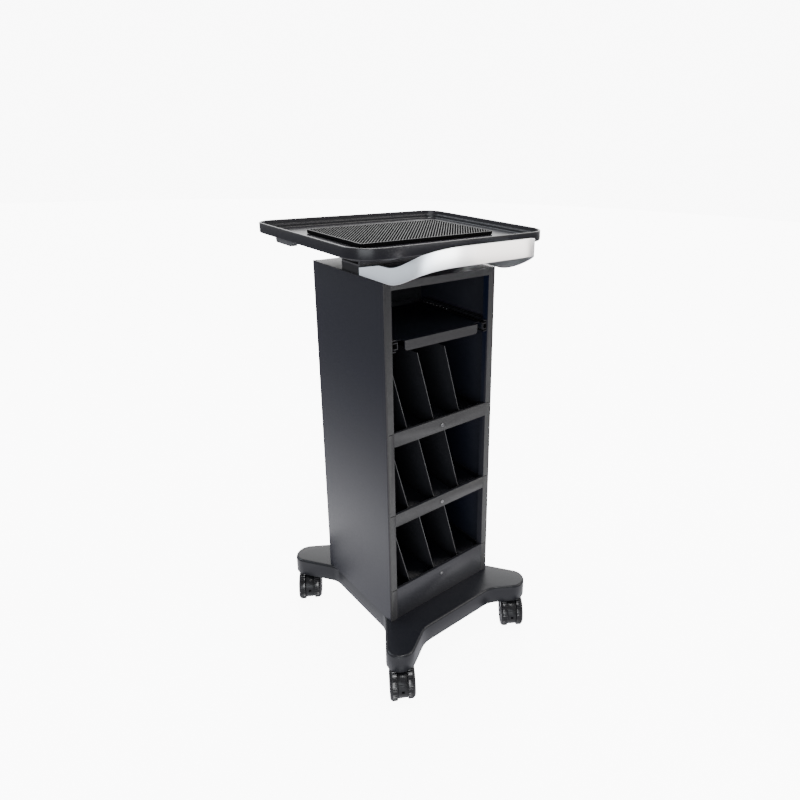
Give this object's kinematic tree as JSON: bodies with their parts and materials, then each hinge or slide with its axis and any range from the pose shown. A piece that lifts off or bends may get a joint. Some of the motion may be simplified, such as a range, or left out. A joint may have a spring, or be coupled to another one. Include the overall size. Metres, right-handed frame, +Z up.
{
  "type": "spa trolley cart",
  "caption": "Narrow rolling salon trolley: open cabinet with leaning dividers and a pull-out shelf, a wide rimmed tray and a bow handle on top, four-lobed caster base.",
  "frame": {"origin": "middle of the whole trolley's footprint, at floor level", "axes": "+Z up, the open front and the handle face -Y, +X is to the right seen from the front"},
  "size_m": [0.411, 0.4735, 0.8595],
  "materials": {
    "cabinet_grey": "fine satin powder coat, dark anthracite",
    "inner_black": "satin black powder coat",
    "base_grey": "fine-textured moulded anthracite",
    "tray_plastic": "moulded anthracite, satin",
    "mat_rubber": "ribbed black rubber",
    "handle_alu": "brushed",
    "zinc_steel": "zinc plated",
    "ball_steel": "polished steel balls",
    "caster_black": "gloss black nylon",
    "screw_black": "blackened steel"
  },
  "bodies": {
    "cabinet": {"base_shell": "base_grey", "base_bottom_plate": "inner_black", "side_panel_left": "cabinet_grey", "side_panel_right": "cabinet_grey", "top_panel": "cabinet_grey", "back_panel": "inner_black", "cabinet_floor": "cabinet_grey", "shelf_upper": "cabinet_grey", "shelf_middle": "cabinet_grey", "shelf_bottom": "cabinet_grey", "rail_screws": "screw_black", "slide_spacer_left": "inner_black", "slide_spacer_right": "inner_black", "slide_outer_left": "zinc_steel", "slide_outer_right": "zinc_steel", "pedestal_beam": "inner_black", "pedestal_tube": "tray_plastic", "mounting_plate": "inner_black", "tray": "tray_plastic", "tray_mat": "mat_rubber", "rim_tabs": "tray_plastic", "handle": "handle_alu", "handle_screws": "zinc_steel", "divider_upper_1": "inner_black", "divider_upper_2": "inner_black", "divider_upper_3": "inner_black", "divider_middle_1": "inner_black", "divider_middle_2": "inner_black", "divider_middle_3": "inner_black", "divider_bottom_1": "inner_black", "divider_bottom_2": "inner_black", "divider_bottom_3": "inner_black", "stem_front_left": "zinc_steel", "stem_front_right": "zinc_steel", "stem_back_left": "zinc_steel", "stem_back_right": "zinc_steel"},
    "caster_front_left": {"hood_front_left": "caster_black", "axle_front_left": "zinc_steel"},
    "wheel_front_left_a_body": {"wheel_front_left_a": "caster_black"},
    "wheel_front_left_b_body": {"wheel_front_left_b": "caster_black"},
    "caster_front_right": {"hood_front_right": "caster_black", "axle_front_right": "zinc_steel"},
    "wheel_front_right_a_body": {"wheel_front_right_a": "caster_black"},
    "wheel_front_right_b_body": {"wheel_front_right_b": "caster_black"},
    "caster_back_left": {"hood_back_left": "caster_black", "axle_back_left": "zinc_steel"},
    "wheel_back_left_a_body": {"wheel_back_left_a": "caster_black"},
    "wheel_back_left_b_body": {"wheel_back_left_b": "caster_black"},
    "caster_back_right": {"hood_back_right": "caster_black", "axle_back_right": "zinc_steel"},
    "wheel_back_right_a_body": {"wheel_back_right_a": "caster_black"},
    "wheel_back_right_b_body": {"wheel_back_right_b": "caster_black"},
    "pull_out": {"pull_shelf": "inner_black", "slide_inner_left": "zinc_steel", "slide_inner_right": "zinc_steel"},
    "ball_cages": {"ball_cage_left": "zinc_steel", "ball_cage_right": "zinc_steel", "balls_left": "ball_steel", "balls_right": "ball_steel"}
  },
  "joints": [
    {"name": "swivel_front_left", "type": "hinge", "parent": "cabinet", "child": "caster_front_left", "pos_m": [-0.1435, -0.15175, 0.05], "axis": [0, 0, 1], "continuous": true},
    {"name": "roll_front_left_a", "type": "hinge", "parent": "caster_front_left", "child": "wheel_front_left_a_body", "pos_m": [-0.151, -0.16474, 0.031], "axis": [0.866, -0.5, 0], "continuous": true},
    {"name": "roll_front_left_b", "type": "hinge", "parent": "caster_front_left", "child": "wheel_front_left_b_body", "pos_m": [-0.151, -0.16474, 0.031], "axis": [0.866, -0.5, 0], "continuous": true},
    {"name": "swivel_front_right", "type": "hinge", "parent": "cabinet", "child": "caster_front_right", "pos_m": [0.1435, -0.15175, 0.05], "axis": [0, 0, 1], "continuous": true},
    {"name": "roll_front_right_a", "type": "hinge", "parent": "caster_front_right", "child": "wheel_front_right_a_body", "pos_m": [0.13468, -0.16389, 0.031], "axis": [0.809, -0.5878, 0], "continuous": true},
    {"name": "roll_front_right_b", "type": "hinge", "parent": "caster_front_right", "child": "wheel_front_right_b_body", "pos_m": [0.13468, -0.16389, 0.031], "axis": [0.809, -0.5878, 0], "continuous": true},
    {"name": "swivel_back_left", "type": "hinge", "parent": "cabinet", "child": "caster_back_left", "pos_m": [-0.1435, 0.20825, 0.05], "axis": [0, 0, 1], "continuous": true},
    {"name": "roll_back_left_a", "type": "hinge", "parent": "caster_back_left", "child": "wheel_back_left_a_body", "pos_m": [-0.15123, 0.19539, 0.031], "axis": [0.8572, -0.515, 0], "continuous": true},
    {"name": "roll_back_left_b", "type": "hinge", "parent": "caster_back_left", "child": "wheel_back_left_b_body", "pos_m": [-0.15123, 0.19539, 0.031], "axis": [0.8572, -0.515, 0], "continuous": true},
    {"name": "swivel_back_right", "type": "hinge", "parent": "cabinet", "child": "caster_back_right", "pos_m": [0.1435, 0.20825, 0.05], "axis": [0, 0, 1], "continuous": true},
    {"name": "roll_back_right_a", "type": "hinge", "parent": "caster_back_right", "child": "wheel_back_right_a_body", "pos_m": [0.13511, 0.19581, 0.031], "axis": [0.829, -0.5592, 0], "continuous": true},
    {"name": "roll_back_right_b", "type": "hinge", "parent": "caster_back_right", "child": "wheel_back_right_b_body", "pos_m": [0.13511, 0.19581, 0.031], "axis": [0.829, -0.5592, 0], "continuous": true},
    {"name": "shelf_slide", "type": "slide", "parent": "cabinet", "child": "pull_out", "axis": [0, -1, 0], "range_m": [0, 0.14]},
    {"name": "cage_slide", "type": "slide", "parent": "cabinet", "child": "ball_cages", "axis": [0, -1, 0], "range_m": [0, 0.07]}
  ],
  "couplings": [
    {"joint": "cage_slide", "follows": "shelf_slide", "ratio": 0.5}
  ]
}
